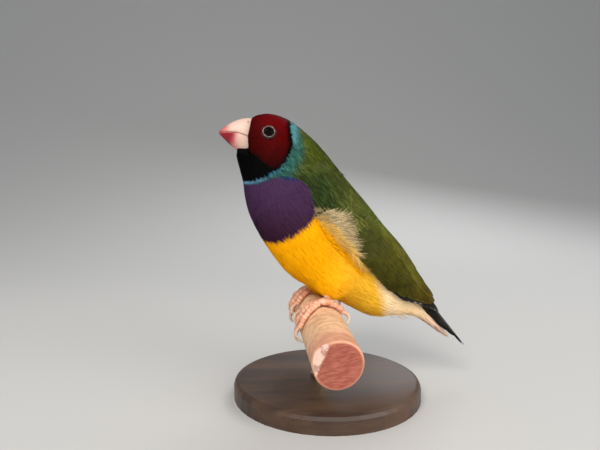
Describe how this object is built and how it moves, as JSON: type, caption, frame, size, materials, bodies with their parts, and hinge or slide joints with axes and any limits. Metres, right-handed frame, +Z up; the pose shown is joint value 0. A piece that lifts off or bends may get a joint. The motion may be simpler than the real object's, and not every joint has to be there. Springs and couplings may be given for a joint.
{
  "type": "gouldian finch figure",
  "caption": "Life-size still model of a red-headed Gouldian finch gripping a short wooden peg, on a round display base with a short rod.",
  "frame": {"origin": "centre of the display base's underside", "axes": "+Z up, the bird faces -X, its left side is towards -Y"},
  "size_m": [0.0953, 0.068, 0.1033],
  "materials": {
    "feather_red": "soft feathers, dark crimson",
    "feather_teal": "soft feathers, turquoise",
    "feather_yellow": "soft feathers, golden yellow",
    "feather_green": "smooth vaned feathers, olive green",
    "feather_black": "smooth vaned feathers, black",
    "feather_cream": "soft feathers, cream white",
    "bill_horn": "satin ivory horn",
    "eye_gloss": "glossy black",
    "foot_skin": "scaly pink skin",
    "claw_horn": "satin pale horn",
    "peg_wood": "bare and partly stained wood",
    "stand_wood": "dark satin lacquer",
    "stand_brass": "satin"
  },
  "bodies": {
    "root": {"head": "feather_red", "neck": "feather_teal", "torso": "feather_yellow", "bill_upper": "bill_horn", "bill_lower": "bill_horn", "eye_left": "eye_gloss", "eye_right": "eye_gloss", "wing_left": "feather_green", "wing_right": "feather_green", "tail": "feather_black", "undertail_coverts": "feather_cream", "leg_left": "foot_skin", "leg_right": "foot_skin", "foot_left": "foot_skin", "foot_right": "foot_skin", "claw_left_hallux": "claw_horn", "claw_left_inner": "claw_horn", "claw_left_middle": "claw_horn", "claw_left_outer": "claw_horn", "claw_right_hallux": "claw_horn", "claw_right_inner": "claw_horn", "claw_right_middle": "claw_horn", "claw_right_outer": "claw_horn", "perch": "peg_wood", "stand_base": "stand_wood", "stand_rod": "stand_brass"}
  },
  "joints": []
}
